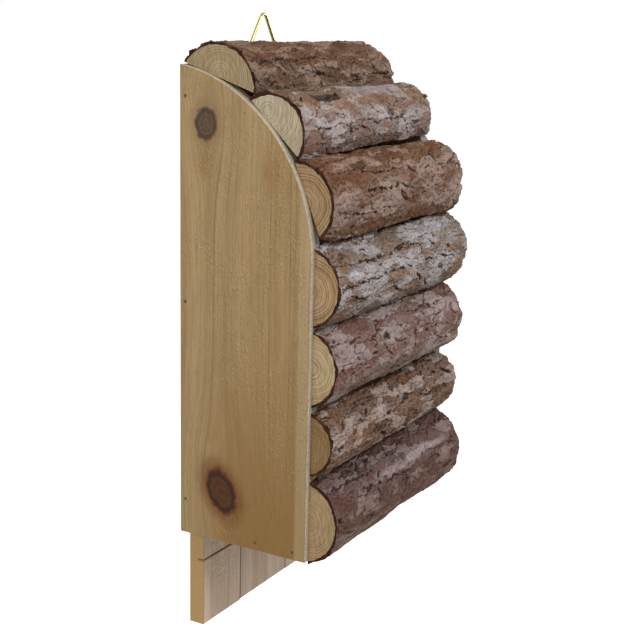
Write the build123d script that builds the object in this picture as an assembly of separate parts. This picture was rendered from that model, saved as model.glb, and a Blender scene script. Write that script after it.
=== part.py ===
from build123d import *
import math
import os
from collections import namedtuple

# Insect hotel: a tall softwood box that hangs on a wall. Two side panels hold a back board of
# three staves and a short floor. Seven half-logs in their bark close the front and the curved
# top. Below the floor the back board runs on as a landing board. A triangular wire loop,
# hinged in a folded brass strap behind the top edge, carries the box.
#
# Frame: +X to the right of someone facing the box, -Y towards that person, +Z up.
# Y = 0 is the plane of the wall. The origin is on that plane, on the centre line, at the height
# of the nail that the loop's apex bend sits on.
# "forward" is a distance in front of the wall, and "height" is one above the side panels' feet.

# Boards
WIDTH = 222.0
PANEL_THICKNESS = 12.0
PANEL_DEPTH = 110.0
PANEL_HEIGHT = 350.0
TOP_PITCH = 12.0
NOSE_RADIUS = 132.0
ARRIS = 0.4
BACK_THICKNESS = 13.0
BACK_TOP = 346.5
STAVE_WIDTHS = {"left": 52.0, "middle": 70.0, "right": 76.0}
STAVE_DROPS = {"left": 80.0, "middle": 79.2, "right": 79.4}
FLOOR_THICKNESS = 12.0
FLOOR_DEPTH = 54.0

# Saw kerfs across the front of the back board, for small feet to grip
KERF_HEIGHT = 2.0
KERF_DEPTH = 5.0
KERF_LOWEST = -26.0
KERF_SPACING = 50.0
KERF_COUNT = 7

# Half-logs, from the top one down. width and rise are the flat side's width and the height of
# the bark above it. tilt is how far the flat side faces up from straight ahead. slide moves it
# along itself from the point where it would touch the panel's curve at its own middle.
# The insets are from the outer face of each side panel to the log's end.
HalfLog = namedtuple("HalfLog", "width rise tilt slide left_inset right_inset")
HALF_LOGS = (
    HalfLog(64.0, 24.0, 72.0, -12.0, 5.0, 5.5),
    HalfLog(55.5, 23.0, 46.4, -9.4, 5.0, 6.0),
    HalfLog(57.0, 20.5, 22.8, -9.5, 4.6, 2.5),
    HalfLog(57.0, 21.3, 0.0, -18.2, 4.4, 1.5),
    HalfLog(56.5, 21.0, 0.0, -75.8, 4.4, 4.5),
    HalfLog(47.4, 18.6, 0.0, -131.7, 4.4, 5.5),
    HalfLog(62.8, 24.5, 0.0, -190.4, 4.4, 4.5),
)

# Nails
NAIL_PLAY = 0.05
NAIL_POINT = 4.0
HEAD_DEPTH = 1.2
PANEL_NAIL_LENGTH = 35.0
PANEL_NAIL_RADIUS = 0.9
PANEL_NAIL_HEAD_RADIUS = 1.3
PANEL_NAIL_SINK = 0.5
BACK_NAIL_FORWARD = 4.5
BACK_NAIL_HEIGHTS = (27.0, 180.0, 328.0)
FLOOR_NAIL_FORWARDS = (67.0, 99.0)
FLOOR_NAIL_HEIGHT = 5.6
LOG_NAIL_LENGTH = 45.0
LOG_NAIL_RADIUS = 1.1
LOG_NAIL_HEAD_RADIUS = 1.8
LOG_NAIL_SINK = 0.6
LOG_NAIL_INSET = 9.0

# Hanger: the loop turns in the strap's fold, and rests leaning forward over the top log
WIRE_RADIUS = 1.2
FOLD_PLAY = 0.05
LOOP_HEIGHT = 38.6
LOOP_APEX_ANGLE = 67.6
LOOP_APEX_BEND = 4.4
LOOP_CORNER_BEND = 4.0
LOOP_WIRE_GAP = 0.6
LOOP_LEAN = 1.5
PIVOT_HEIGHT = 347.0
STRAP_THICKNESS = 1.0
STRAP_WIDTH = 15.0
STRAP_LENGTH = 21.0
STRAP_JOGGLE = 6.0
STRAP_END_ROUND = 3.0
SCREW_RADIUS = 1.4
SCREW_LENGTH = 12.0
SCREW_POINT = 3.0
SCREW_HEAD_RADIUS = 2.8
SCREW_HEAD_RISE = 1.6
SCREW_SLOT = 0.7
SCREW_SLOT_DEPTH = 0.8
SCREW_DROPS = (10.0, 16.5)

HALF_WIDTH = WIDTH / 2
INNER_HALF_WIDTH = HALF_WIDTH - PANEL_THICKNESS
PIVOT_BACK = STRAP_THICKNESS + FOLD_PLAY + WIRE_RADIUS
PIVOT_DROP = (LOOP_HEIGHT - LOOP_APEX_BEND) * math.cos(math.radians(LOOP_LEAN))
FEET = -PIVOT_DROP - PIVOT_HEIGHT
SIDES = {"left": -1, "right": 1}
HANGING = (Align.CENTER, Align.CENTER, Align.MAX)
STANDING = (Align.CENTER, Align.CENTER, Align.MIN)


def side_point(forward, height):
    """A point of a side view, as local coordinates of the YZ plane."""
    return (-forward, FEET + height)


def nose_centre():
    """Centre of the panel's curved front edge, as (forward, height)."""
    pitch = math.radians(TOP_PITCH)
    forward = PANEL_DEPTH - NOSE_RADIUS
    slope_end = forward + NOSE_RADIUS * math.sin(pitch)
    height = PANEL_HEIGHT - slope_end * math.tan(pitch) - NOSE_RADIUS * math.cos(pitch)
    return forward, height


def nose_point(angle):
    """A point on the curved edge, where its normal is turned up by angle degrees."""
    forward, height = nose_centre()
    turn = math.radians(angle)
    return forward + NOSE_RADIUS * math.cos(turn), height + NOSE_RADIUS * math.sin(turn)


def along_x(outline, start, end):
    """A side-view outline made solid from one X to another."""
    return extrude(Plane.YZ.offset(start) * make_face(outline), amount=end - start)


def board(x_low, x_high, forward_low, forward_high, height_low, height_high):
    """A sawn board with eased arrises, from its limits."""
    size = (x_high - x_low, forward_high - forward_low, height_high - height_low)
    solid = Box(*size, align=(Align.MIN, Align.MIN, Align.MIN))
    solid = chamfer(solid.edges(), ARRIS)
    return Pos(x_low, -forward_high, FEET + height_low) * solid


def spike(length, point_length, radius, play):
    """A pointed shank from the origin towards -Z."""
    shank = Cylinder(radius, length - point_length, align=HANGING)
    point = Cone(radius / 4, radius, point_length + play, align=HANGING)
    return shank + Pos(0, 0, point_length - length) * point


def nail(length, radius, head_radius, play=0.0):
    """A lost-head nail, its head's face at the origin and its point towards -Z."""
    head = Cylinder(head_radius + play, HEAD_DEPTH + play, align=HANGING)
    return head + spike(length, NAIL_POINT, radius + play, play)


def nail_tool(length, radius, head_radius, sink):
    """The space that a nail takes in the wood, with the pit over its sunk head."""
    pit = Cylinder(head_radius + NAIL_PLAY, 2 * sink, align=STANDING)
    return nail(length, radius, head_radius, NAIL_PLAY) + pit


def panel_nail_places(side, spots):
    """Seats of nails that go in through a side panel, at (forward, height) spots."""
    x = SIDES[side] * (HALF_WIDTH - PANEL_NAIL_SINK)
    return [
        Plane(origin=(x, -forward, FEET + height), x_dir=(0, 1, 0), z_dir=(SIDES[side], 0, 0))
        for forward, height in spots
    ]


def back_nail_places(side):
    return panel_nail_places(side, [(BACK_NAIL_FORWARD, height) for height in BACK_NAIL_HEIGHTS])


def floor_nail_places(side):
    return panel_nail_places(side, [(forward, FLOOR_NAIL_HEIGHT) for forward in FLOOR_NAIL_FORWARDS])


def log_frame(log):
    """Middle of a log's flat side, its outward direction and its upward one, in side view."""
    turn = math.radians(log.tilt)
    outward = (math.cos(turn), math.sin(turn))
    upward = (-outward[1], outward[0])
    touch = nose_point(log.tilt)
    middle = tuple(touch[i] + log.slide * upward[i] for i in range(2))
    return middle, outward, upward


def log_point(log, out, up):
    """A point of a log's end, out from its flat side and up from the middle of it."""
    middle, outward, upward = log_frame(log)
    return tuple(middle[i] + out * outward[i] + up * upward[i] for i in range(2))


def log_nail_places(side):
    x = SIDES[side] * (HALF_WIDTH - LOG_NAIL_INSET)
    places = []
    for log in HALF_LOGS:
        forward, height = log_point(log, log.rise - LOG_NAIL_SINK, 0)
        outward = log_frame(log)[1]
        places.append(
            Plane(origin=(x, -forward, FEET + height), x_dir=(1, 0, 0), z_dir=(0, -outward[0], outward[1]))
        )
    return places


def panel_nail():
    return nail(PANEL_NAIL_LENGTH, PANEL_NAIL_RADIUS, PANEL_NAIL_HEAD_RADIUS)


def log_nail():
    return nail(LOG_NAIL_LENGTH, LOG_NAIL_RADIUS, LOG_NAIL_HEAD_RADIUS)


def panel_nail_tools(side):
    tool = nail_tool(PANEL_NAIL_LENGTH, PANEL_NAIL_RADIUS, PANEL_NAIL_HEAD_RADIUS, PANEL_NAIL_SINK)
    return [place * tool for place in back_nail_places(side) + floor_nail_places(side)]


def log_nail_tools(side):
    tool = nail_tool(LOG_NAIL_LENGTH, LOG_NAIL_RADIUS, LOG_NAIL_HEAD_RADIUS, LOG_NAIL_SINK)
    return [place * tool for place in log_nail_places(side)]


def side_panel(side):
    """A side board whose front edge curves back to its top."""
    corner = side_point(0, PANEL_HEIGHT)
    nose_start = side_point(*nose_point(0))
    nose_end = side_point(*nose_point(90 - TOP_PITCH))
    nose_middle = side_point(*nose_point((90 - TOP_PITCH) / 2))
    straight = Polyline(corner, side_point(0, 0), side_point(PANEL_DEPTH, 0), nose_start)
    nose = ThreePointArc(nose_start, nose_middle, nose_end)
    outline = straight + nose + Line(nose_end, corner)
    inner = SIDES[side] * INNER_HALF_WIDTH
    outer = SIDES[side] * HALF_WIDTH
    solid = along_x(outline, min(inner, outer), max(inner, outer))
    solid = chamfer(solid.edges(), ARRIS)
    return solid - (panel_nail_tools(side) + log_nail_tools(side))


def kerf_heights():
    return [KERF_LOWEST + KERF_SPACING * i for i in range(KERF_COUNT)]


def back_stave(name):
    """One of the three edge-jointed staves of the back board, kerfed on its front."""
    order = list(STAVE_WIDTHS)
    x_low = -INNER_HALF_WIDTH + sum(STAVE_WIDTHS[other] for other in order[: order.index(name)])
    width = STAVE_WIDTHS[name]
    solid = board(x_low, x_low + width, 0, BACK_THICKNESS, -STAVE_DROPS[name], BACK_TOP)
    kerf = Box(width + 2, KERF_DEPTH, KERF_HEIGHT, align=(Align.CENTER, Align.MIN, Align.CENTER))
    middle = x_low + width / 2
    kerfs = [Pos(middle, -BACK_THICKNESS, FEET + height) * kerf for height in kerf_heights()]
    holes = screw_holes() if name == "middle" else panel_nail_tools(name)
    return solid - (kerfs + holes)


def floor_board():
    solid = board(
        -INNER_HALF_WIDTH, INNER_HALF_WIDTH, PANEL_DEPTH - FLOOR_DEPTH, PANEL_DEPTH, 0, FLOOR_THICKNESS
    )
    return solid - (panel_nail_tools("left") + panel_nail_tools("right"))


def half_log(log):
    """A log sawn in half, its flat side on the panels' edges."""
    lower = side_point(*log_point(log, 0, -log.width / 2))
    upper = side_point(*log_point(log, 0, log.width / 2))
    crown = side_point(*log_point(log, log.rise, 0))
    outline = ThreePointArc(lower, crown, upper) + Line(upper, lower)
    solid = along_x(outline, log.left_inset - HALF_WIDTH, HALF_WIDTH - log.right_inset)
    return solid - (log_nail_tools("left") + log_nail_tools("right"))


def pivot():
    return Pos(0, PIVOT_BACK, -PIVOT_DROP)


def fold_radius():
    return WIRE_RADIUS + FOLD_PLAY


def hanger_strap():
    """A brass strip folded over the loop's base, its two layers screwed to the board."""
    inner = fold_radius()
    outer = inner + STRAP_THICKNESS
    wall = -PIVOT_BACK
    step = wall + 2 * STRAP_THICKNESS
    outside = Polyline(
        (outer, 0), (step, -STRAP_JOGGLE), (step, -STRAP_LENGTH), (wall, -STRAP_LENGTH), (wall, 0)
    )
    section = make_face(outside + Line((wall, 0), (outer, 0)))
    section += Circle(outer)
    ridge = wall + STRAP_THICKNESS
    hollow = make_face(Polyline((inner, 0), (ridge, -STRAP_JOGGLE + STRAP_THICKNESS), (ridge, 0), close=True))
    section -= hollow
    section -= Circle(inner)
    strip = extrude(Plane.YZ.offset(-STRAP_WIDTH / 2) * section, amount=STRAP_WIDTH)
    bottom = strip.edges().filter_by(Axis.Y).sort_by(Axis.Z)[:2]
    strip = pivot() * fillet(bottom, STRAP_END_ROUND)
    return strip - screw_holes()


def screw_places():
    """Seats of the screw heads on the strap, pointing away from the wall board."""
    return [
        Plane(origin=(0, 2 * STRAP_THICKNESS, -PIVOT_DROP - drop), x_dir=(1, 0, 0), z_dir=(0, 1, 0))
        for drop in SCREW_DROPS
    ]


def screw_shank(play=0.0):
    return spike(SCREW_LENGTH, SCREW_POINT, SCREW_RADIUS + play, play)


def screw_holes():
    return [place * screw_shank(NAIL_PLAY) for place in screw_places()]


def hanger_screws():
    """Two round-head screws with a driver slot."""
    ball = (SCREW_HEAD_RADIUS**2 + SCREW_HEAD_RISE**2) / (2 * SCREW_HEAD_RISE)
    above = Cylinder(SCREW_HEAD_RADIUS, SCREW_HEAD_RISE, align=STANDING)
    dome = (Pos(0, 0, SCREW_HEAD_RISE - ball) * Sphere(ball)) & above
    slot = Pos(0, 0, SCREW_HEAD_RISE) * Box(2 * SCREW_HEAD_RADIUS, SCREW_SLOT, 2 * SCREW_SLOT_DEPTH)
    screw = (dome - slot) + screw_shank()
    return Compound(children=[place * screw for place in screw_places()])


def hanger_loop():
    """A triangle of brass wire, butted in the middle of its base."""
    half_angle = math.radians(LOOP_APEX_ANGLE / 2)
    apex = LOOP_HEIGHT + LOOP_APEX_BEND / math.sin(half_angle) - LOOP_APEX_BEND
    half = apex * math.tan(half_angle)
    gap = LOOP_WIRE_GAP / 2
    corners = [(gap, 0), (half, 0), (0, apex), (-half, 0), (-gap, 0)]
    bends = [LOOP_CORNER_BEND, LOOP_APEX_BEND, LOOP_CORNER_BEND]
    route = Plane.XZ * FilletPolyline(*corners, radius=bends)
    wire = sweep(Plane(origin=route @ 0, z_dir=route % 0) * Circle(WIRE_RADIUS), path=route)
    return pivot() * Rot(X=LOOP_LEAN) * wire


def write(name, shape):
    export_step(shape, f"parts/{name}.step")


def group(nail_shape, places):
    return Compound(children=[place * nail_shape for place in places])


for side_name in SIDES:
    write(f"side_panel_{side_name}", side_panel(side_name))
    write(f"back_nails_{side_name}", group(panel_nail(), back_nail_places(side_name)))
    write(f"floor_nails_{side_name}", group(panel_nail(), floor_nail_places(side_name)))
    write(f"log_nails_{side_name}", group(log_nail(), log_nail_places(side_name)))
for stave_name in STAVE_WIDTHS:
    write(f"back_stave_{stave_name}", back_stave(stave_name))
for number, half in enumerate(HALF_LOGS, start=1):
    write(f"half_log_{number}", half_log(half))
write("floor_board", floor_board())
write("hanger_strap", hanger_strap())
write("hanger_screws", hanger_screws())
write("hanger_loop", hanger_loop())
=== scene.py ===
import math
from collections import namedtuple

import bmesh
import bpy
import numpy as np
from mathutils import Matrix, Vector


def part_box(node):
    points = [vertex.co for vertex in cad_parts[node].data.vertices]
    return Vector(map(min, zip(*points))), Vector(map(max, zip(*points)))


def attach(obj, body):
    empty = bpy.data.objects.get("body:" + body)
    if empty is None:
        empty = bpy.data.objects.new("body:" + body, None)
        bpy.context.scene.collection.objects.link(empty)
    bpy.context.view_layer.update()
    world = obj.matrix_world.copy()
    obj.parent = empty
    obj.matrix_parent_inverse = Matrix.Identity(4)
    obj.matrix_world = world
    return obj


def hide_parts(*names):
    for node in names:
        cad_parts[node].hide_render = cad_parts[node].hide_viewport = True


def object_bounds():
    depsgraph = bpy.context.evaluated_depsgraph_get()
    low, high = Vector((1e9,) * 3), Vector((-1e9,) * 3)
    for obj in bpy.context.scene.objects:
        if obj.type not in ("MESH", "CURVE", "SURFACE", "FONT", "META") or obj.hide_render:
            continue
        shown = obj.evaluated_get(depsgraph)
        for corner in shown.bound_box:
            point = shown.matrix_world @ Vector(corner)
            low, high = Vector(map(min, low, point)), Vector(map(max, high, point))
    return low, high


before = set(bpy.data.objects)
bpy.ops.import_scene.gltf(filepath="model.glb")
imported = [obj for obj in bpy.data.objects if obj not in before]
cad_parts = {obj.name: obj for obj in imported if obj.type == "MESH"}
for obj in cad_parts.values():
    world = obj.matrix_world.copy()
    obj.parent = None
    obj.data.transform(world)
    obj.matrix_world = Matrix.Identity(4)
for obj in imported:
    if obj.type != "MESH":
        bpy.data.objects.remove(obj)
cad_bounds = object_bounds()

MM = 0.001

# The camera, in degrees, metres and millimetres
LOOK_AT = Vector((-0.0617, -0.0900, -0.2128))
DISTANCE = 0.9157
AZIMUTH = -60.44
ELEVATION = 13.25
ROLL = 1.39
LENS = 70.34
FLOOR_DROP = 0.30

# Bark is a skin over the wood. Sizes are in millimetres.
BARK_THICKNESS = 2.3
BARK_PITCH = 0.52
BOLD_RINGS = (3, 4)
# Near black for the bark's cracks, also used as painted shade in its hollows.
CRACK_AND_SHADE_COLOUR = (0.022, 0.012, 0.008)
NAIL_PIT = 2.3
NAIL_PIT_DEPTH = 1.3

# A mark on a log's bark: where it is along the log and round from its crown, half its length and
# width, in millimetres, and how much it slants.
Mark = namedtuple("Mark", "kind x arc length width slope")

# What each kind of mark does: how far it lifts the bark in millimetres, how much it pales it, how
# much it darkens it, and how dark the crack round it is.
MARK_KINDS = {
    "crack": (-1.2, 0.0, 1.0, 0.0),
    "hole": (-2.0, -0.2, 1.0, 0.0),
    "scar": (-0.8, -0.6, 0.45, 0.2),
    "wound": (-0.9, -0.9, 0.72, 0.3),
    "plate": (0.50, 0.26, 0.0, 0.75),
    "flake": (0.65, 0.60, 0.0, 0.30),
    # Smooth marks lie along the shiny bands: besides calming the bark and lowering its roughness, they pale
    # it and clear its cracks as a painted sheen.
    "smooth": (0.1, 0.06, -0.30, 0.0),
}

# One row for each half-log, from the top one down. Tilt is how far its flat side is tilted up,
# pith where its growth rings are centred (up along the flat side and out from it), taper how much
# thinner its right end is, slide how far up that end lies, and skirt how far its lower and upper
# edges flare. Bands are the bark's colours from its upper edge to its lower, right what they are
# multiplied by towards the right end. Besides the bark's own colour the bands hold painted light:
# painted shade in the darker bands at the edges where the logs meet, and a painted sheen in the
# pale lavender bands across the middle of some logs. Scale is the size of the bark's plates,
# relief their height.
LogLook = namedtuple(
    "LogLook", "tilt pith taper slide skirt bands right fresh pale wood scale relief gloss seed marks"
)
LOG_LOOKS = (
    LogLook(
        72.0, (0.0, 1.0), 0.03, 0.0, (0.5, 0.3),
        [(0.139, 0.075, 0.042), (0.158, 0.084, 0.045), (0.162, 0.084, 0.043),
         (0.152, 0.080, 0.042), (0.138, 0.080, 0.049)],
        (1.0, 1.0, 1.0), (0.099, 0.039, 0.016),
        (0.297, 0.202, 0.152), (0.385, 0.298, 0.180), 1.15, 1.4, 0.0, 11,
        [Mark("crack", -42, -18, 60, 0.9, 0.02), Mark("crack", -12, -31, 30, 1.0, -0.14),
         Mark("crack", 70, -33, 32, 1.2, 0.02), Mark("hole", -86, -36, 4, 1.4, 0.2),
         Mark("hole", -56, -36, 3, 1.6, -0.4), Mark("flake", -68, -25, 9, 2.2, -0.4),
         Mark("flake", -61, -29, 2.5, 1.6, 0.0), Mark("plate", -90, -30, 14, 5.0, 0.0),
         Mark("plate", 63, -22, 11, 3.6, 0.0), Mark("plate", 86, -28, 10, 4.0, -0.1),
         Mark("scar", 40, -36, 9, 3.0, 0.0), Mark("plate", 10, -23, 14, 4.0, 0.0),
         Mark("scar", -30, -9, 6, 2.5, 0.0), Mark("plate", -38, -26, 12, 4.5, -0.1),
         Mark("crack", 30, 2, 45, 0.8, 0.03), Mark("crack", -60, 14, 35, 0.8, 0.05)]),
    LogLook(
        46.4, (12.0, 5.0), 0.08, 1.6, (1.0, 0.5),
        [(0.146, 0.094, 0.050), (0.171, 0.107, 0.058), (0.251, 0.159, 0.097),
         (0.292, 0.231, 0.211), (0.136, 0.091, 0.070)],
        (0.92, 0.88, 0.84), (0.176, 0.086, 0.051),
        (0.405, 0.344, 0.328), (0.480, 0.415, 0.300), 1.5, 1.0, 0.15, 23,
        [Mark("wound", -54, 6, 21, 5.0, 0.02), Mark("hole", -50, 6, 7, 1.5, 0.3),
         Mark("hole", -34, 9, 4, 2.0, 0.5), Mark("hole", -90, 5, 2.5, 1.6, 0.4),
         Mark("crack", -45, -18, 52, 0.7, 0.02), Mark("crack", -35, -24, 22, 0.7, 0.05),
         Mark("crack", -50, -10, 12, 0.6, -0.1), Mark("scar", 31, -13, 6, 4.5, 0.0),
         Mark("plate", -66, -23, 16, 3.5, 0.0), Mark("crack", 25, -19, 30, 0.8, 0.06),
         Mark("plate", 60, -17, 14, 3.5, 0.0), Mark("smooth", 30, 12, 60, 10, 0.0),
         Mark("crack", 6, -9, 6, 0.5, -0.7), Mark("hole", 74, -24, 9, 1.5, -0.1)]),
    LogLook(
        22.8, (-2.0, -4.0), 0.0, 0.0, (3.0, 0.5),
        [(0.156, 0.073, 0.033), (0.176, 0.086, 0.038), (0.206, 0.111, 0.068),
         (0.211, 0.127, 0.093), (0.152, 0.082, 0.043)],
        (0.95, 0.95, 0.93), (0.129, 0.048, 0.018),
        (0.323, 0.234, 0.194), (0.385, 0.265, 0.150), 1.3, 1.1, 0.05, 37,
        [Mark("plate", -38, -13, 15, 5.0, 0.0), Mark("crack", -38, -12, 1.0, 3.0, 0.0),
         Mark("crack", -55, -20, 42, 0.9, 0.02), Mark("crack", -25, -5, 38, 0.9, -0.02),
         Mark("crack", -80, 13, 22, 0.8, 0.02), Mark("scar", -52, 17, 14, 4.0, 0.0),
         Mark("flake", 4, 14, 6, 3.0, 0.0), Mark("hole", 5, 17, 3.0, 1.5, 0.0),
         Mark("hole", 22, 4, 8, 1.6, -0.7), Mark("scar", 68, 12, 2.5, 6.0, 0.0),
         Mark("plate", 26, -7, 15, 4.0, 0.0), Mark("plate", 60, -8, 12, 3.5, 0.0),
         Mark("crack", -20, 8, 40, 0.7, -0.02), Mark("scar", 0, -14, 5, 4.0, -0.4),
         Mark("crack", 20, -16, 20, 0.7, 0.0), Mark("crack", 70, 5, 30, 0.7, 0.02)]),
    LogLook(
        0.0, (-3.0, -3.0), 0.0, 0.0, (0.8, 1.6),
        [(0.133, 0.102, 0.071), (0.257, 0.214, 0.190), (0.304, 0.266, 0.256),
         (0.236, 0.178, 0.133), (0.155, 0.114, 0.080)],
        (0.94, 0.90, 0.84), (0.189, 0.097, 0.050),
        (0.418, 0.378, 0.378), (0.405, 0.285, 0.160), 0.72, 1.1, 0.1, 41,
        [Mark("crack", -35, 17, 68, 1.0, 0.0), Mark("crack", -45, 2, 62, 1.1, 0.01),
         Mark("crack", 60, 1, 40, 0.9, -0.08), Mark("scar", -95, 2, 6, 2.5, 0.0),
         Mark("hole", 46, 14, 5, 1.6, -0.6), Mark("hole", 73, 8, 4, 2.2, 0.2),
         Mark("hole", 20, -9, 8, 1.5, -0.6), Mark("scar", 60, -8, 8, 3.0, -0.3),
         Mark("plate", 10, 12, 16, 3.5, 0.0), Mark("smooth", -85, 9, 14, 3.0, 0.0),
         Mark("flake", -62, 9, 9, 2.6, 0.0), Mark("flake", -28, 10, 14, 2.8, 0.0),
         Mark("flake", 70, 2, 13, 2.2, -0.2), Mark("scar", -75, -12, 15, 3.0, -0.1),
         Mark("crack", -80, -8, 22, 0.8, -0.1), Mark("smooth", 55, 26, 50, 6, 0.0),
         Mark("scar", -88, 22, 10, 3.0, 0.0), Mark("crack", 20, 21, 30, 0.8, 0.05),
         Mark("hole", 40, -17, 6, 1.5, -0.8), Mark("crack", -10, -14, 24, 0.8, -0.3)]),
    LogLook(
        0.0, (1.0, -1.0), 0.0, 0.0, (0.8, 0.6),
        [(0.133, 0.073, 0.053), (0.200, 0.126, 0.105), (0.200, 0.108, 0.082),
         (0.213, 0.146, 0.114), (0.198, 0.147, 0.106)],
        (0.95, 0.95, 0.92), (0.154, 0.064, 0.041),
        (0.356, 0.276, 0.262), (0.450, 0.350, 0.205), 1.6, 1.1, 0.2, 53,
        [Mark("plate", -91, 13, 11, 5.0, 0.0), Mark("flake", -72, 10, 6, 4.0, 0.2),
         Mark("hole", -98, 2, 2.0, 2.2, 0.0), Mark("flake", -30, 16, 9, 4.0, 0.0),
         Mark("hole", -30, 12, 5.5, 2.6, 0.0), Mark("hole", -52, 3, 6, 1.3, 0.0),
         Mark("crack", -26, -1, 11, 0.8, -0.7), Mark("scar", 19, -3, 1.8, 10, 0.0),
         Mark("flake", 28, 7, 8, 3.2, 0.0), Mark("flake", 56, 9, 14, 2.8, 0.0),
         Mark("flake", 95, 11, 7, 4.0, 0.0), Mark("plate", 60, 17, 20, 4.0, 0.0),
         Mark("crack", -80, 18, 18, 0.7, 0.0), Mark("crack", 55, 4, 25, 0.8, 0.05),
         Mark("crack", -75, -8, 20, 0.8, 0.1), Mark("plate", 0, 9, 16, 5, 0.0),
         Mark("crack", 45, 22, 30, 0.8, 0.0), Mark("hole", -70, -22, 8, 1.6, -0.2),
         Mark("hole", 0, -22, 9, 1.6, -0.2), Mark("crack", 70, -9, 20, 0.7, -0.3)]),
    LogLook(
        0.0, (-2.0, 0.0), 0.0, 0.0, (1.8, 0.8),
        [(0.127, 0.070, 0.041), (0.219, 0.146, 0.112), (0.237, 0.136, 0.089),
         (0.187, 0.108, 0.063), (0.125, 0.072, 0.043)],
        (0.80, 0.77, 0.73), (0.140, 0.063, 0.026),
        (0.400, 0.315, 0.271), (0.270, 0.170, 0.078), 0.9, 1.4, 0.05, 67,
        [Mark("flake", -62, 5, 9, 4.5, 0.0), Mark("hole", -94, -3, 6, 2.2, -0.2),
         Mark("flake", -95, 26, 9, 3.5, 0.0), Mark("flake", -70, -5, 8, 3.0, 0.0),
         Mark("plate", -72, 14, 13, 4.5, 0.0), Mark("hole", -52, 13, 3, 2.0, 0.0),
         Mark("flake", -28, 16, 7, 2.5, 0.2), Mark("scar", -30, -3, 18, 4.0, 0.0),
         Mark("crack", -10, 5, 34, 1.1, 0.1), Mark("crack", 30, 8, 26, 1.1, -0.15),
         Mark("plate", 30, 16, 20, 5.0, 0.0), Mark("hole", 50, 3, 10, 1.6, 0.0),
         Mark("scar", 70, 2, 20, 3.5, 0.0), Mark("hole", 92, 12, 7, 2.2, -0.3),
         Mark("flake", 0, -7, 12, 2.0, -0.5), Mark("hole", -20, -12, 8, 1.8, -0.6),
         Mark("scar", -40, 22, 12, 3.5, 0.0), Mark("plate", -100, 10, 7, 5.0, 0.0),
         Mark("crack", 78, 17, 12, 1.0, 0.0)]),
    LogLook(
        0.0, (0.0, -1.0), 0.0, 0.0, (0.8, 1.2),
        [(0.044, 0.014, 0.007), (0.108, 0.049, 0.036), (0.131, 0.067, 0.040),
         (0.141, 0.077, 0.047), (0.119, 0.065, 0.038)],
        (0.95, 0.84, 0.80), (0.086, 0.026, 0.014),
        (0.238, 0.163, 0.147), (0.405, 0.290, 0.160), 1.9, 1.0, 0.3, 79,
        [Mark("crack", -70, 27, 34, 1.0, -0.05), Mark("crack", -45, 14, 28, 1.1, 0.0),
         Mark("crack", 0, 12, 30, 0.8, 0.05), Mark("plate", -84, 23, 12, 4.0, 0.0),
         Mark("plate", -55, 5, 12, 6.0, 0.0), Mark("plate", -22, 4, 13, 6.5, 0.0),
         Mark("scar", -40, 6, 1.3, 7.0, 0.0), Mark("scar", -29, 5, 1.0, 6.0, 0.0),
         Mark("scar", 3, 3, 2.5, 6.0, 0.0), Mark("plate", 18, 3, 12, 4.5, 0.0),
         Mark("smooth", 22, 18, 80, 4.5, 0.0), Mark("scar", 50, 6, 18, 3.0, 0.0),
         Mark("plate", 76, 2, 10, 4.0, 0.0), Mark("hole", -101, 4, 3, 2.0, 0.0),
         Mark("crack", -25, -9, 80, 0.8, 0.0), Mark("flake", 43, 30, 2.2, 1.2, 0.0),
         Mark("hole", -33, 20, 4, 2.0, 0.2), Mark("crack", -55, 34, 30, 1.0, 0.0),
         Mark("scar", 82, -8, 10, 3.0, 0.0), Mark("crack", -60, -16, 30, 1.0, -0.1)]),
)


# ---------------------------------------------------------------- repeatable noise on a surface

def scatter(column, row, seed):
    """A repeatable number from 0 to 1 for each whole-number grid point."""
    mixed = (column * 374761393 + row * 668265263 + seed * 1442695041) & 0xFFFFFFFF
    mixed = ((mixed ^ (mixed >> 13)) * 1274126177) & 0xFFFFFFFF
    return ((mixed ^ (mixed >> 16)) & 0xFFFFFFFF) / 2.0**32


def ripple(across, along, seed):
    """Smooth noise from about -1 to 1, with bumps one unit wide."""
    column, row = np.floor(across).astype(np.int64), np.floor(along).astype(np.int64)
    x, y = across - column, along - row
    ease_x, ease_y = (t * t * t * (t * (t * 6 - 15) + 10) for t in (x, y))

    def corner(right, up):
        turn = 2 * np.pi * scatter(column + right, row + up, seed)
        return np.cos(turn) * (x - right) + np.sin(turn) * (y - up)

    low = corner(0, 0) * (1 - ease_x) + corner(1, 0) * ease_x
    high = corner(0, 1) * (1 - ease_x) + corner(1, 1) * ease_x
    return 1.5 * (low * (1 - ease_y) + high * ease_y)


def rough(across, along, seed, octaves):
    """Noise with finer and finer bumps, from about -1 to 1."""
    total, weight = 0.0, 0.0
    for octave in range(octaves):
        scale = 2.0**octave
        total = total + ripple(across * scale, along * scale, seed + octave) / scale
        weight += 1 / scale
    return total / weight * 1.5


def cells(across, along, seed):
    """Cracked-mud cells: nearness to the border, from 0, and a random number for each cell."""
    column, row = np.floor(across).astype(np.int64), np.floor(along).astype(np.int64)
    nearest = np.full(across.shape, 9.0)
    second = np.full(across.shape, 9.0)
    number = np.zeros(across.shape)
    for right in (-1, 0, 1):
        for up in (-1, 0, 1):
            centre_x = column + right + scatter(column + right, row + up, seed)
            centre_y = row + up + scatter(column + right, row + up, seed + 1)
            distance = np.hypot(across - centre_x, along - centre_y)
            closer = distance < nearest
            second = np.where(closer, nearest, np.minimum(second, distance))
            number = np.where(closer, scatter(column + right, row + up, seed + 2), number)
            nearest = np.where(closer, distance, nearest)
    return second - nearest, number


def step(value, low, high):
    """0 below low and 1 above high, with a smooth rise between them."""
    t = np.clip((value - low) / (high - low), 0, 1)
    return t * t * (3 - 2 * t)


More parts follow.
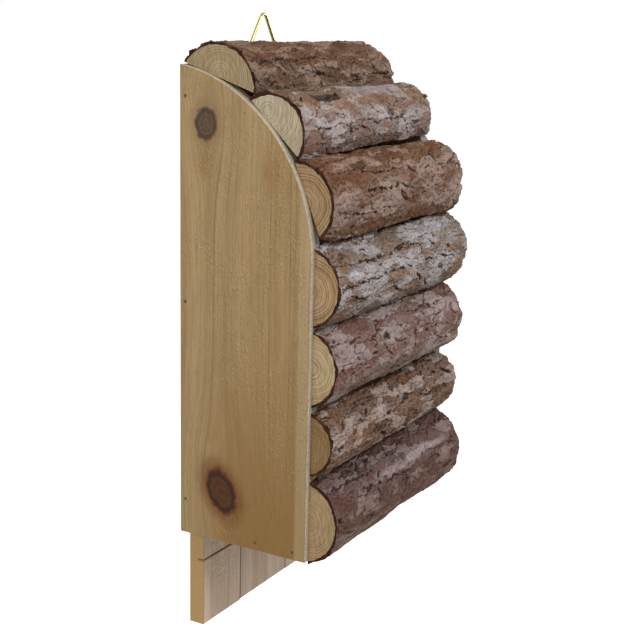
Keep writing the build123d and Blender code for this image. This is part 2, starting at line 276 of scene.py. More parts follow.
def blurred(field, reach):
    """The field averaged over a square of 2 * reach + 1 grid points each way."""
    for axis in (0, 1):
        padded = np.pad(field, [(reach, reach) if a == axis else (0, 0) for a in (0, 1)], mode="edge")
        total = np.zeros_like(field)
        for offset in range(2 * reach + 1):
            total += np.take(padded, np.arange(field.shape[axis]) + offset, axis=axis)
        field = total / (2 * reach + 1)
    return field


# ---------------------------------------------------------------- shader helpers

def put(tree, kind, inputs=None, **settings):
    """A new node. Inputs are sockets to link from or plain values."""
    made = tree.nodes.new("ShaderNode" + kind)
    for name, value in settings.items():
        setattr(made, name, value)
    for name, value in (inputs or {}).items():
        socket = made.inputs[name]
        if isinstance(value, bpy.types.NodeSocket):
            tree.links.new(value, socket)
        else:
            socket.default_value = value
    return made


def sum_up(tree, operation, first, second=0.0, third=0.0, clamp=False):
    """The result of a Math node."""
    return put(tree, "Math", {0: first, 1: second, 2: third}, operation=operation,
               use_clamp=clamp).outputs[0]


def times(tree, first, second):
    return sum_up(tree, "MULTIPLY", first, second)


def between(tree, value, low, high, to_low=0.0, to_high=1.0):
    """The value rescaled smoothly from one range to another."""
    made = put(tree, "MapRange", {0: value, 1: low, 2: high, 3: to_low, 4: to_high})
    made.interpolation_type = "SMOOTHSTEP"
    return made.outputs[0]


def tint(tree, factor, first, second, blend="MIX"):
    """Two colours mixed by a factor."""
    made = put(tree, "Mix", {0: factor}, data_type="RGBA", blend_type=blend)
    for index, value in ((6, first), (7, second)):
        if isinstance(value, bpy.types.NodeSocket):
            tree.links.new(value, made.inputs[index])
        else:
            made.inputs[index].default_value = (*value, 1.0)
    return made.outputs[2]


def shaded(tree, colour, factor):
    """The colour made lighter or darker by a factor."""
    grey = put(tree, "CombineXYZ", {0: factor, 1: factor, 2: factor}).outputs[0]
    return tint(tree, 1.0, colour, grey, "MULTIPLY")


def ramp(tree, factor, stops, interpolation="LINEAR"):
    """A colour ramp from (place, colour) stops."""
    made = put(tree, "ValToRGB", {0: factor})
    made.color_ramp.interpolation = interpolation
    elements = made.color_ramp.elements
    while len(elements) < len(stops):
        elements.new(0.5)
    for element, (place, colour) in zip(elements, stops):
        element.position = place
        element.color = (*colour, 1.0)
    return made.outputs[0]


def cloud(tree, vector, scale, detail=3.0, roughness=0.55, distortion=0.0):
    """Noise on a vector, from 0 to 1."""
    inputs = {"Vector": vector, "Scale": scale, "Detail": detail, "Roughness": roughness,
              "Distortion": distortion}
    return put(tree, "TexNoise", inputs).outputs[0]


def stretched(tree, vector, scale, location=(0, 0, 0), rotation=(0, 0, 0)):
    """The vector moved, turned and scaled as a Mapping node does a point."""
    inputs = {"Vector": vector, "Scale": scale, "Location": location, "Rotation": rotation}
    return put(tree, "Mapping", inputs).outputs[0]


def own_place(tree):
    """The place in the object's own coordinates, in metres."""
    return put(tree, "TexCoord").outputs["Object"]


def new_group(name, inputs, outputs):
    """An empty shader group with named sockets, and its input and output nodes."""
    tree = bpy.data.node_groups.new(name, "ShaderNodeTree")
    for label, kind, default in inputs:
        socket = tree.interface.new_socket(label, in_out="INPUT", socket_type="NodeSocket" + kind)
        if default is not None:
            socket.default_value = default
    for label, kind in outputs:
        tree.interface.new_socket(label, in_out="OUTPUT", socket_type="NodeSocket" + kind)
    return tree, tree.nodes.new("NodeGroupInput"), tree.nodes.new("NodeGroupOutput")


def use(tree, group, inputs):
    """A shared group placed in a material with its own values."""
    made = tree.nodes.new("ShaderNodeGroup")
    made.node_tree = group
    for name, value in inputs.items():
        if isinstance(value, bpy.types.NodeSocket):
            tree.links.new(value, made.inputs[name])
        else:
            made.inputs[name].default_value = value
    return made.outputs


def new_material(name):
    """A material whose tree holds only a Principled BSDF, and that shader."""
    material = bpy.data.materials.new(name)
    material.use_nodes = True
    shader = material.node_tree.nodes["Principled BSDF"]
    return material, material.node_tree, shader


def finish(tree, shader, colour, roughness, height, distance, strength=1.0):
    """Links the usual outputs of a pattern to the shader."""
    tree.links.new(colour, shader.inputs["Base Color"])
    if isinstance(roughness, bpy.types.NodeSocket):
        tree.links.new(roughness, shader.inputs["Roughness"])
    else:
        shader.inputs["Roughness"].default_value = roughness
    bump = put(tree, "Bump", {"Height": height, "Distance": distance, "Strength": strength})
    tree.links.new(bump.outputs[0], shader.inputs["Normal"])


# ---------------------------------------------------------------- shared patterns

def make_fibre_group():
    """Fine streaks and pores that run along the third axis of the vector, in metres."""
    tree, given, out = new_group(
        "wood_fibre", [("Vector", "Vector", None), ("Length", "Float", 1.0)],
        [("Streak", "Float"), ("Pore", "Float"), ("Height", "Float")]
    )
    narrow = put(tree, "CombineXYZ", {0: 1.0, 1: 1.0, 2: given.outputs["Length"]}).outputs[0]
    flat = put(tree, "VectorMath", {0: given.outputs["Vector"], 1: narrow}, operation="MULTIPLY").outputs[0]
    streak = cloud(tree, stretched(tree, flat, (1, 1, 0.035)), 620.0, 4.0, 0.6)
    wide = cloud(tree, stretched(tree, flat, (1, 1, 0.02)), 150.0, 3.0, 0.55)
    pore = cloud(tree, stretched(tree, flat, (1, 1, 0.10)), 1500.0, 2.0, 0.6)
    pore = between(tree, pore, 0.56, 0.74)
    both = sum_up(tree, "ADD", times(tree, streak, 0.6), times(tree, wide, 0.4))
    tree.links.new(both, out.inputs["Streak"])
    tree.links.new(pore, out.inputs["Pore"])
    tree.links.new(sum_up(tree, "SUBTRACT", streak, times(tree, pore, 0.5)), out.inputs["Height"])
    return tree


def make_ring_group():
    """Growth rings about the third axis of the vector: 0 in pale spring wood, 1 at each dark line."""
    tree, given, out = new_group(
        "growth_rings",
        [("Vector", "Vector", None), ("Width", "Float", 0.0025), ("Wobble", "Float", 0.001),
         ("Seed", "Float", 0.0)],
        [("Ring", "Float"), ("Year", "Float")]
    )
    seeded = put(tree, "CombineXYZ", {0: 0.0, 1: 0.0, 2: given.outputs["Seed"]}).outputs[0]
    moved = put(tree, "VectorMath", {0: given.outputs["Vector"], 1: seeded}, operation="ADD").outputs[0]
    parts = put(tree, "SeparateXYZ", {0: given.outputs["Vector"]}).outputs
    plane = put(tree, "CombineXYZ", {0: parts[0], 1: parts[1], 2: 0.0}).outputs[0]
    radius = put(tree, "VectorMath", {0: plane}, operation="LENGTH").outputs["Value"]
    slow = sum_up(tree, "SUBTRACT", cloud(tree, stretched(tree, moved, (1, 1, 0.2)), 45.0, 2.0), 0.5)
    fine = sum_up(tree, "SUBTRACT", cloud(tree, stretched(tree, moved, (1, 1, 0.2)), 320.0, 2.0), 0.5)
    sway = sum_up(tree, "ADD", slow, times(tree, fine, 0.06))
    radius = sum_up(tree, "MULTIPLY_ADD", sway, given.outputs["Wobble"], radius)
    years = sum_up(tree, "DIVIDE", radius, given.outputs["Width"])
    uneven = put(tree, "TexNoise", {"W": years, "Scale": 0.9, "Detail": 1.0},
                 noise_dimensions="1D").outputs[0]
    years = sum_up(tree, "MULTIPLY_ADD", uneven, 1.7, years)
    phase = sum_up(tree, "FRACT", years)
    rise = between(tree, phase, 0.48, 0.93)
    fall = between(tree, phase, 0.94, 1.0, 1.0, 0.0)
    tree.links.new(times(tree, rise, fall), out.inputs["Ring"])
    year = put(tree, "TexWhiteNoise", {"W": sum_up(tree, "FLOOR", years)}, noise_dimensions="1D").outputs[0]
    tree.links.new(year, out.inputs["Year"])
    return tree


def make_knot_group():
    """A knot seen end on, in the plane of the vector's second and third axes."""
    tree, given, out = new_group(
        "knot",
        [("Vector", "Vector", None), ("Centre", "Vector", None), ("Turn", "Vector", None),
         ("Size", "Vector", None)],
        [("Core", "Float"), ("Halo", "Float"), ("Rim", "Float"), ("Swirl", "Float"), ("Star", "Float")]
    )
    away = put(tree, "VectorMath", {0: given.outputs["Vector"], 1: given.outputs["Centre"]},
               operation="SUBTRACT")
    turned = put(tree, "VectorRotate", {"Vector": away.outputs[0], "Rotation": given.outputs["Turn"]},
                 rotation_type="EULER_XYZ").outputs[0]
    size = put(tree, "VectorMath", {0: turned, 1: given.outputs["Size"]}, operation="DIVIDE").outputs[0]
    parts = put(tree, "SeparateXYZ", {0: size}).outputs
    plane = put(tree, "CombineXYZ", {0: 0.0, 1: parts[1], 2: parts[2]}).outputs[0]
    reach = put(tree, "VectorMath", {0: plane}, operation="LENGTH").outputs["Value"]
    ragged = cloud(tree, given.outputs["Vector"], 190.0, 4.0, 0.6)
    reach = sum_up(tree, "MULTIPLY_ADD", sum_up(tree, "SUBTRACT", ragged, 0.5), 0.50, reach)
    core = between(tree, reach, 0.80, 1.12, 1.0, 0.0)
    halo = between(tree, reach, 0.9, 1.9, 1.0, 0.0)
    rim = times(tree, between(tree, reach, 0.55, 0.90), core)
    rings = sum_up(tree, "SINE", times(tree, reach, 19.0))
    bearing = sum_up(tree, "ARCTAN2", parts[1], parts[2])
    spokes = sum_up(tree, "ABSOLUTE", sum_up(tree, "SINE", times(tree, bearing, 1.5)))
    spoke_width = sum_up(tree, "DIVIDE", 0.05, sum_up(tree, "ADD", reach, 0.12))
    star = sum_up(tree, "LESS_THAN", spokes, spoke_width)
    star = times(tree, star, between(tree, reach, 0.62, 0.78, 1.0, 0.0))
    tree.links.new(core, out.inputs["Core"])
    tree.links.new(halo, out.inputs["Halo"])
    tree.links.new(rim, out.inputs["Rim"])
    tree.links.new(between(tree, rings, -1.0, 1.0), out.inputs["Swirl"])
    tree.links.new(star, out.inputs["Star"])
    return tree


def make_speckle_group():
    """Fine mottling, dust and grit for bark."""
    tree, given, out = new_group(
        "bark_speckle", [("Vector", "Vector", None), ("Seed", "Float", 0.0)],
        [("Mottle", "Float"), ("Grit", "Float"), ("Flake", "Float"), ("Height", "Float")]
    )
    shift = put(tree, "CombineXYZ", {0: given.outputs["Seed"], 1: 0.0, 2: 0.0}).outputs[0]
    vector = put(tree, "VectorMath", {0: given.outputs["Vector"], 1: shift}, operation="ADD").outputs[0]
    long = stretched(tree, vector, (0.55, 1, 1))
    mottle = cloud(tree, long, 95.0, 5.0, 0.62)
    grit = cloud(tree, long, 900.0, 4.0, 0.65)
    flake = put(tree, "TexVoronoi", {"Vector": long, "Scale": 210.0, "Detail": 1.0,
                                     "Randomness": 1.0}).outputs[1]
    flake = put(tree, "SeparateXYZ", {0: flake}).outputs[0]
    tree.links.new(mottle, out.inputs["Mottle"])
    tree.links.new(grit, out.inputs["Grit"])
    tree.links.new(flake, out.inputs["Flake"])
    height = sum_up(tree, "MULTIPLY_ADD", cloud(tree, long, 380.0, 4.0, 0.6), 1.0, times(tree, grit, 0.5))
    tree.links.new(height, out.inputs["Height"])
    return tree


FIBRE = make_fibre_group()
RINGS = make_ring_group()
KNOT = make_knot_group()
SPECKLE = make_speckle_group()


# ---------------------------------------------------------------- materials

def bark_material(number, look):
    """Flaky conifer bark, whose tone follows the plates, marks and cracks that its mesh has. Its colour
    also holds painted shade in its hollows, painted highlights on its ridges and a painted sheen.
    """
    material, tree, shader = new_material(f"bark_{number}")
    place = own_place(tree)
    girth, weathered, hollow, dark, gloss = (
        put(tree, "Attribute", attribute_name=name).outputs["Fac"]
        for name in ("girth", "weathered", "hollow", "dark", "gloss")
    )
    speckle = use(tree, SPECKLE, {"Vector": place, "Seed": look.seed * 0.37})
    # The girth bands, with their painted shade at the edges where the logs meet and painted sheen across
    # the middle of some.
    stops = [(0.1 + 0.2 * i, colour) for i, colour in enumerate(reversed(look.bands))]
    colour = ramp(tree, girth, stops, "EASE")
    rightward = between(tree, put(tree, "SeparateXYZ", {0: place}).outputs[0], -0.05, 0.06)
    colour = tint(tree, rightward, colour, tint(tree, 1.0, colour, look.right, "MULTIPLY"))
    patch = between(tree, speckle["Mottle"], 0.36, 0.64)
    fresh = times(tree, between(tree, weathered, 0.40, 0.28),
                  sum_up(tree, "MULTIPLY_ADD", patch, 0.35, 0.55))
    colour = tint(tree, fresh, colour, look.fresh)
    pale = times(tree, between(tree, weathered, 0.64, 0.70),
                 sum_up(tree, "MULTIPLY_ADD", patch, 0.42, 0.36))
    colour = tint(tree, pale, colour, look.pale)
    # Painted sheen: where the gloss attribute is high the colour is tinted towards a paler lavender,
    # standing in for a highlight.
    sheen = tuple(c * k for c, k in zip(look.pale, (1.04, 1.08, 1.24)))
    colour = tint(tree, between(tree, gloss, 0.1, 0.9, 0.0, 0.42), colour, sheen)
    flecks = between(tree, speckle["Flake"], 0.1, 0.95, 0.84, 1.14)
    grit = between(tree, speckle["Grit"], 0.34, 0.66, 0.78, 1.20)
    shade = times(tree, flecks, grit)
    colour = shaded(tree, colour, shade)
    # Painted highlight: points raised above their neighbours are tinted paler.
    edge = between(tree, hollow, 0.42, 0.14)
    colour = tint(tree, times(tree, edge, 0.22), colour, look.pale)
    # Real cracks and painted shade: the dark attribute and every point well below its neighbours are tinted
    # towards near black.
    crack = sum_up(tree, "MAXIMUM", between(tree, hollow, 0.56, 0.95), between(tree, dark, 0.15, 0.85))
    colour = tint(tree, times(tree, crack, 0.90), colour, CRACK_AND_SHADE_COLOUR)
    roughness = between(tree, speckle["Mottle"], 0.3, 0.7, 0.50 - 0.10 * look.gloss,
                        0.72 - 0.18 * look.gloss)
    roughness = sum_up(tree, "MULTIPLY_ADD", gloss, -0.13, roughness)
    shader.inputs["Specular IOR Level"].default_value = 0.14 + 0.50 * look.gloss
    height = times(tree, speckle["Height"], between(tree, gloss, 0.0, 1.0, 1.0, 0.3))
    finish(tree, shader, colour, roughness, height, 0.0007, 0.9)
    return material


def bast_material():
    """The dark inner bark that a saw cut shows round the wood."""
    material, tree, shader = new_material("inner_bark")
    place = own_place(tree)
    speckle = use(tree, SPECKLE, {"Vector": place, "Seed": 3.1})
    colour = ramp(tree, speckle["Mottle"], [(0.3, (0.016, 0.006, 0.004)), (0.55, (0.048, 0.019, 0.010)),
                                            (0.75, (0.100, 0.045, 0.022))])
    shader.inputs["Specular IOR Level"].default_value = 0.12
    finish(tree, shader, colour, 0.85, speckle["Height"], 0.0006, 0.8)
    return material


def log_wood_material(number, look, pith):
    """Sawn log wood with growth rings about its own pith, which runs along X."""
    material, tree, shader = new_material(f"log_wood_{number}")
    place = stretched(tree, own_place(tree), (1, 1, 1), tuple(-c for c in pith))
    parts = put(tree, "SeparateXYZ", {0: place}).outputs
    along = put(tree, "CombineXYZ", {0: parts[1], 1: parts[2], 2: parts[0]}).outputs[0]
    width = 0.0023 + 0.0005 * math.sin(look.seed)
    rings = use(tree, RINGS, {"Vector": along, "Width": width, "Wobble": 0.0050, "Seed": look.seed * 0.11})
    bold = 1.4 if number in BOLD_RINGS else 1.0
    year = between(tree, rings["Year"], 0.0, 1.0, 0.40 * bold, 1.15 * bold)
    late, mid = (tuple(c * k for c, k in zip(look.wood, (a, b, d))) for a, b,
                 d in ((0.50, 0.37, 0.25), (0.86, 0.79, 0.69)))
    wide = put(tree, "CombineXYZ", {0: parts[1], 1: parts[2], 2: 0.0}).outputs[0]
    reach = put(tree, "VectorMath", {0: wide}, operation="LENGTH").outputs["Value"]
    year = times(tree, year, between(tree, reach, 0.001, 0.008, 0.25, 1.0))
    colour = ramp(tree, times(tree, rings["Ring"], year), [(0.0, look.wood), (0.5, mid), (1.0, late)])
    saw = cloud(tree, stretched(tree, along, (1, 0.16, 1), rotation=(0, 0, 0.5 + look.seed)), 700.0, 4.0,
                0.65)
    blotch = cloud(tree, along, 90.0, 4.0, 0.6)
    colour = tint(tree, between(tree, blotch, 0.42, 0.72, 0.0, 0.60), colour, mid)
    fuzz = between(tree, saw, 0.30, 0.72, 0.80, 1.18)
    colour = tint(tree, 1.0, colour, put(tree, "CombineXYZ", {0: fuzz, 1: fuzz, 2: fuzz}).outputs[0],
                  "MULTIPLY")
    near_bark = between(tree, sum_up(tree, "MULTIPLY_ADD", blotch, 0.012, reach), 0.022, 0.036)
    colour = tint(tree, times(tree, near_bark, 0.22), colour, late)
    bearing = sum_up(tree, "ARCTAN2", parts[1], parts[2])
    check = put(tree, "TexNoise", {"W": times(tree, bearing, 5.0), "Scale": 3.0, "Detail": 2.0},
                noise_dimensions="1D").outputs[0]
    check = times(tree, between(tree, check, 0.70, 0.76), between(tree, reach, 0.010, 0.003, 0.0, 0.8))
    colour = tint(tree, check, colour, (0.075, 0.040, 0.020))
    height = sum_up(tree, "MULTIPLY_ADD", rings["Ring"], -0.15, saw)
    shader.inputs["Specular IOR Level"].default_value = 0.25
    finish(tree, shader, colour, 0.80, height, 0.0004, 0.6)
    return material


def board_material(name, pale, deep, line, knots=(), pith=(0.05, 0.19), sawn=None, foot=None, sides=(),
                   edge=1.0,
                   stains=()):
    """Planed softwood whose grain runs along Z. Sawn is the span of X between the planed faces, and
    sides are spots along X where the board's edge has its own colour, with how far in that reaches.
    Stains are soft discoloured places. Edge darkens the sawn edges."""
    material, tree, shader = new_material(name)
    place = own_place(tree)
    bent = place
    for centre, size, turn, _ in knots:
        reach = put(tree, "VectorMath", {0: place, 1: centre}, operation="SUBTRACT").outputs[0]
        parts = put(tree, "SeparateXYZ", {0: reach}).outputs
        away = put(tree, "CombineXYZ", {0: 0.0, 1: sum_up(tree, "DIVIDE", parts[1], 2.2 * size[1]),
                                        2: sum_up(tree, "DIVIDE", parts[2], 3.6 * size[2])}).outputs[0]
        pull = put(tree, "VectorMath", {0: away}, operation="LENGTH").outputs["Value"]
        pull = sum_up(tree, "EXPONENT", times(tree, times(tree, pull, pull), -1.0))
        push = put(tree, "CombineXYZ", {0: 0.0, 1: times(tree, pull, times(tree, parts[1], -0.85)),
                                        2: 0.0}).outputs[0]
        bent = put(tree, "VectorMath", {0: bent, 1: push}, operation="ADD").outputs[0]
    centred = stretched(tree, bent, (1, 1, 1), (pith[0], pith[1], 0))
    rings = use(tree, RINGS, {"Vector": centred, "Width": 0.0068, "Wobble": 0.0045, "Seed": 0.3})
    fibre = use(tree, FIBRE, {"Vector": bent})
    soft = cloud(tree, stretched(tree, bent, (1, 1, 0.10)), 26.0, 3.0, 0.55)
    smudge = cloud(tree, stretched(tree, place, (1, 1, 0.5)), 34.0, 4.0, 0.6)
    colour = tint(tree, between(tree, soft, 0.34, 0.68, 0.0, 0.8), pale, deep)
    colour = tint(tree, between(tree, smudge, 0.55, 0.80, 0.0, 0.30), colour, line)
    lines = times(tree, rings["Ring"], between(tree, rings["Year"], 0.2, 1.0, 0.15, 0.75))
    colour = tint(tree, lines, colour, line)
    streak = between(tree, fibre["Streak"], 0.38, 0.64, 0.86, 1.08)
    colour = shaded(tree, colour, streak)
    colour = tint(tree, times(tree, fibre["Pore"], 0.20), colour, line)
    dot = put(tree, "TexVoronoi", {"Vector": place, "Scale": 38.0, "Randomness": 1.0}).outputs["Distance"]
    colour = tint(tree, between(tree, dot, 0.030, 0.012, 0.0, 0.7), colour, (0.080, 0.045, 0.025))
    if foot is not None:
        low = put(tree, "SeparateXYZ", {0: place}).outputs
        # Darker and browner towards the panel's foot and towards its front.
        low_front_darkening = between(tree, low[2], foot + 0.20, foot)
        low_front_darkening = times(tree, low_front_darkening, between(tree, low[1], -0.005, -0.050, 0.1, 1.0))
        colour = tint(tree, times(tree, low_front_darkening, 0.95), colour, (0.262, 0.145, 0.042))
        sapwood = times(tree, between(tree, low[1], -0.0995, -0.1020), 0.40)
        colour = tint(tree, sapwood, colour, (0.470, 0.365, 0.215))
    for centre, size, stain_colour, strength in stains:
        reach = put(tree, "VectorMath", {0: place, 1: centre}, operation="SUBTRACT").outputs[0]
        reach = put(tree, "VectorMath", {0: reach, 1: size}, operation="DIVIDE").outputs[0]
        away = put(tree, "VectorMath", {0: reach}, operation="LENGTH").outputs["Value"]
        blot = times(tree, between(tree, away, 1.0, 0.1, 0.0, strength), between(tree, smudge, 0.3, 0.6))
        colour = tint(tree, blot, colour, stain_colour)
    plain = 1.0
    for centre, size, turn, looks in knots:
        knot = use(tree, KNOT, {"Vector": place, "Centre": centre, "Turn": (turn, 0, 0), "Size": size})
        halo_colour, outer, inner, centre_colour, glow = looks
        colour = tint(tree, times(tree, knot["Halo"], glow), colour, halo_colour)
        inside = ramp(tree, knot["Swirl"], [(0.0, inner), (1.0, tuple(c * 0.72 for c in inner))])
        colour = tint(tree, times(tree, knot["Core"], 0.94), colour, inside)
        colour = tint(tree, times(tree, knot["Rim"], 0.70), colour, outer)
        colour = tint(tree, times(tree, knot["Star"], 0.65), colour, centre_colour)
        plain = times(tree, sum_up(tree, "SUBTRACT", 1.0, knot["Core"]), plain)
    pimple = put(tree, "TexVoronoi", {"Vector": stretched(tree, place, (1, 1, 0.7)), "Scale": 560.0},
                 feature="SMOOTH_F1").outputs["Distance"]
    torn = between(tree, cloud(tree, stretched(tree, place, (1, 1, 0.4)), 22.0, 2.0), 0.42, 0.66)
    pimple = times(tree, between(tree, pimple, 0.45, 0.15), times(tree, torn, plain))
    height = sum_up(tree, "MULTIPLY_ADD", pimple, 1.8, fibre["Height"])
    # Painted highlight: the raised fibre tufts are tinted paler.
    colour = tint(tree, times(tree, pimple, 0.30), colour, tuple(c * 1.25 for c in pale))
    if sawn:
        cut = sawn_mask(tree, place, sawn)
        fuzz = cloud(tree, place, 620.0, 5.0, 0.75)
        tones = ((0.25, (0.120, 0.080, 0.050)), (0.32, (0.330, 0.250, 0.155)),
                 (0.46, (0.560, 0.500, 0.390)), (0.62, (0.760, 0.720, 0.620)))
        fuzzy = ramp(tree, fuzz, [(at, tuple(c * edge for c in tone)) for at, tone in tones])
        across = put(tree, "SeparateXYZ", {0: place}).outputs[0]
        arris = sum_up(tree, "MINIMUM", sum_up(tree, "SUBTRACT", across, sawn[0]),
                       sum_up(tree, "SUBTRACT", sawn[1], across))
        arris = sum_up(tree, "MULTIPLY_ADD", sum_up(tree, "SUBTRACT", fuzz, 0.5), 0.012, arris)
        fuzzy = tint(tree, between(tree, arris, 0.0015, 0.0045, 0.0, 0.75), fuzzy, (0.360, 0.270, 0.165))
        colour = tint(tree, cut, colour, fuzzy)
        height = sum_up(tree, "MULTIPLY_ADD", times(tree, fuzz, cut), 3.0, height)
    for spot, reach, side_colour in sides:
        across = put(tree, "SeparateXYZ", {0: place}).outputs[0]
        away = sum_up(tree, "ABSOLUTE", sum_up(tree, "SUBTRACT", across, spot))
        near = between(tree, away, reach * 1.5, reach * 0.5)
        colour = tint(tree, near, colour, side_colour)
    shader.inputs["Specular IOR Level"].default_value = 0.30
    finish(tree, shader, colour, 0.60, height, 0.00045, 0.75)
    return material


def sawn_mask(tree, place, sawn):
    """1 on the edges between two planed faces, which lie at the ends of a span of X."""
    low, high = sawn
    x = put(tree, "SeparateXYZ", {0: place}).outputs[0]
    above = sum_up(tree, "GREATER_THAN", x, low + 0.25 * MM)
    below = sum_up(tree, "LESS_THAN", x, high - 0.25 * MM)
    return times(tree, above, below)


def brass_material():
    """Drawn brass wire and strip, with a little tarnish."""
    material, tree, shader = new_material("drawn_brass")
    place = own_place(tree)
    tarnish = cloud(tree, place, 160.0, 4.0, 0.6)
    scratch = cloud(tree, stretched(tree, place, (0.05, 1, 1)), 2600.0, 2.0)
    colour = ramp(tree, tarnish, [(0.35, (0.83, 0.66, 0.27)), (0.6, (0.72, 0.53, 0.20)),
                                  (0.8, (0.44, 0.30, 0.12))])
    shader.inputs["Metallic"].default_value = 1.0
    finish(tree, shader, colour, between(tree, tarnish, 0.3, 0.8, 0.16, 0.42), scratch, 0.00005, 0.4)
    return material


def steel_material():
    """Dull wire nails that have begun to rust."""
    material, tree, shader = new_material("nail_steel")
    place = own_place(tree)
    rust = cloud(tree, place, 700.0, 4.0, 0.65)
    colour = ramp(tree, rust, [(0.3, (0.19, 0.155, 0.13)), (0.5, (0.125, 0.080, 0.052)),
                               (0.7, (0.15, 0.062, 0.026))])
    metal = between(tree, rust, 0.35, 0.6, 0.7, 0.1)
    tree.links.new(metal, shader.inputs["Metallic"])
    finish(tree, shader, colour, between(tree, rust, 0.3, 0.7, 0.38, 0.8), rust, 0.0002, 0.5)
    return material


def give(node_names, material):
    """Puts one material on carried-over CAD nodes."""
    for name in node_names:
        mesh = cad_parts[name].data
        mesh.materials.clear()
        mesh.materials.append(material)


# ---------------------------------------------------------------- half-logs

def log_axes(look):
    """Outward and upward directions of a log's flat side."""
    turn = math.radians(look.tilt)
    return Vector((0, -math.cos(turn), math.sin(turn))), Vector((0, math.sin(turn), math.cos(turn)))


def log_section(number, look):
    """The log's flat side and arc, measured on its CAD node: in millimetres from the flat's middle."""
    outward, upward = log_axes(look)
    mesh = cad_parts[f"half_log_{number}"].data
    spots = np.array([v.co for v in mesh.vertices])
    out, up = spots @ np.array(outward), spots @ np.array(upward)
    middle = outward * float(out.min()) + upward * float((up.min() + up.max()) / 2)
    half = float(up.max() - up.min()) / 2 / MM
    rise = float(out.max() - out.min()) / MM
    radius = (half**2 + rise**2) / (2 * rise)
    return middle, half, rise, radius, float(spots[:, 0].min()) / MM, float(spots[:, 0].max()) / MM


def marked(along, arc, look):
    """What a log's marks add at each point: height in millimetres, paleness, darkness and gloss."""
    height, tone, dark, gloss = (np.zeros_like(along) for _ in range(4))
    for turn, mark in enumerate(look.marks):
        lift, shift, stain, outline = MARK_KINDS[mark.kind]
        reach = 1.4 * mark.length + 7
        near = np.abs(along - mark.x) < reach
        near &= np.abs(arc - mark.arc) < 1.5 * mark.width + abs(mark.slope) * reach + 9
        x, y = along[near], arc[near]
        bend = 2.6 * rough(x / 16, y / 30 + 5 * turn, look.seed + 91,
                           3) + 1.1 * rough(x / 3.6, y / 3.2, look.seed + 93, 3)
        sway = 2.4 * rough(x / 9, y / 6, look.seed + 95, 3)
        across = (x + sway - mark.x) / mark.length
        drop = y + bend - mark.arc - mark.slope * (x - mark.x)
        breadth = mark.width * np.ones_like(x)
        if mark.kind == "crack":
            breadth *= 0.15 + 1.5 * step(rough(x / 7, y / 25 + 3 * turn, look.seed + 97, 2), -0.35, 0.55)
            lip = np.exp(-np.abs(drop) / 3.5) * (1 - step(np.abs(across), 0.6, 1.1))
            height[near] += np.where(drop > 0, 0.45, -0.20) * lip
            tone[near] += np.where(drop > 0, 0.16, -0.14) * lip
        shape = (np.abs(across) ** 3 + np.abs(drop / breadth) ** 3) ** (1 / 3)
        inside = 1 - step(shape, 0.80, 1.05)
        worn = step(rough(x / 8, y / 5, look.seed + 99, 2) - 0.12 * drop / mark.width, -0.2, 0.4)
        edge = np.exp(-(((shape - 1.05) * min(mark.length, mark.width) / 0.45) ** 2)) * worn
        height[near] += lift * inside - 0.7 * outline * edge
        tone[near] += shift * inside
        dark[near] += stain * inside + outline * edge
        # The gloss of smooth marks also carries a painted sheen into the bark's colour.
        if mark.kind == "smooth":
            gloss[near] = np.maximum(gloss[near], 1 - step(shape, 0.5, 1.05))
    return height, tone, dark, gloss


